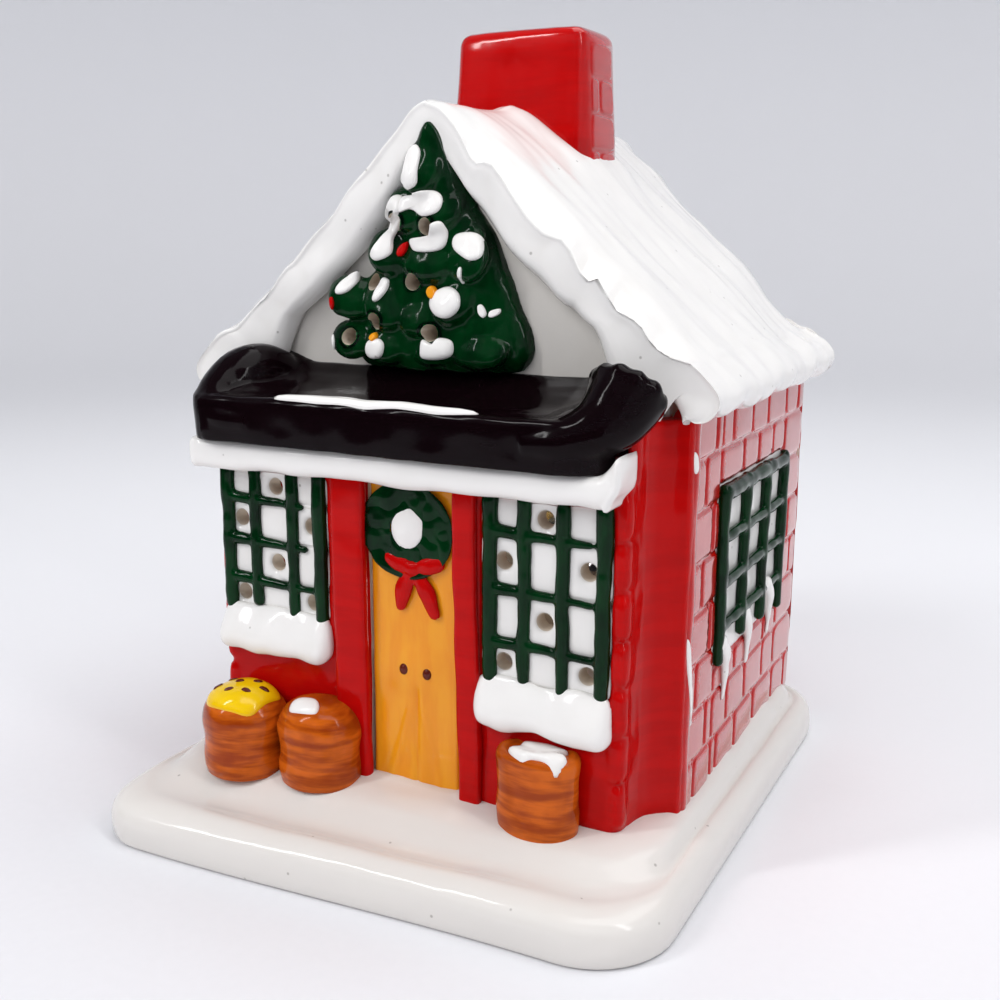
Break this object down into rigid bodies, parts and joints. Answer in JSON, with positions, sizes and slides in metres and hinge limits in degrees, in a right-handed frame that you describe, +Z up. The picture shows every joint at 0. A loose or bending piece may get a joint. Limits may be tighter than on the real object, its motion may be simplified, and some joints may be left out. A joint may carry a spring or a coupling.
{
  "type": "ceramic christmas village house",
  "caption": "Glazed ceramic cottage ornament on a snow base, with brick walls, a snowy roof, a relief tree and pierced windows, lit from inside by a lamp clipped into its back wall.",
  "frame": {"origin": "bottom centre of the snow base, on the surface it stands on", "axes": "+Z up, the door and windows face -Y, the lamp is at +Y"},
  "size_m": [0.112, 0.12, 0.1538],
  "materials": {
    "snow_glaze": "glossy white glaze",
    "pane_glaze": "glossy white glaze in the window recesses",
    "red_glaze": "glossy brush-painted red",
    "brown_glaze": "glossy near-black brown",
    "green_glaze": "glossy brush-painted green",
    "door_glaze": "glossy yellow-orange",
    "knob_glaze": "glossy dark red-brown dots",
    "basket_glaze": "glossy brown-orange with brush bands",
    "straw_glaze": "glossy yellow with brown specks",
    "holder_plastic": "moulded ivory plastic",
    "clip_steel": "bright spring steel",
    "contact_brass": "drawn brass",
    "bulb_glass": "clear glass",
    "filament_wire": "bare wire"
  },
  "bodies": {
    "house": {"snow_base": "snow_glaze", "left_roof_slope": "snow_glaze", "right_roof_slope": "snow_glaze", "porch_snow": "snow_glaze", "left_window_snow": "snow_glaze", "right_window_snow": "snow_glaze", "front_wall": "snow_glaze", "tree_snow": "snow_glaze", "wreath_snow": "snow_glaze", "inner_basket_snow": "snow_glaze", "right_basket_snow": "snow_glaze", "left_side_icicles": "snow_glaze", "right_side_icicles": "snow_glaze", "left_window_pane": "pane_glaze", "right_window_pane": "pane_glaze", "left_side_pane": "pane_glaze", "right_side_pane": "pane_glaze", "left_wall": "red_glaze", "right_wall": "red_glaze", "back_wall": "red_glaze", "porch_bay": "red_glaze", "chimney": "red_glaze", "left_door_jamb": "red_glaze", "right_door_jamb": "red_glaze", "bow": "red_glaze", "porch_roof": "brown_glaze", "tree": "green_glaze", "wreath": "green_glaze", "left_window_lattice": "green_glaze", "right_window_lattice": "green_glaze", "left_side_lattice": "green_glaze", "right_side_lattice": "green_glaze", "door": "door_glaze", "door_knobs": "knob_glaze", "outer_basket": "basket_glaze", "inner_basket": "basket_glaze", "right_basket": "basket_glaze", "outer_basket_fill": "straw_glaze"},
    "lamp": {"lamp_holder": "holder_plastic", "holder_clip": "clip_steel", "screw_shell": "contact_brass", "centre_contact": "contact_brass"},
    "bulb": {"bulb_cap": "contact_brass", "bulb_glass": "bulb_glass", "bulb_stem": "bulb_glass", "bulb_filament": "filament_wire"}
  },
  "joints": [
    {"name": "lamp_pull", "type": "slide", "parent": "house", "child": "lamp", "axis": [0, 1, 0], "range_m": [0, 0.066]},
    {"name": "bulb_turn", "type": "hinge", "parent": "lamp", "child": "bulb", "pos_m": [0, 0.036, 0.047], "axis": [0, -1, 0], "range_deg": [0, 1440]}
  ]
}
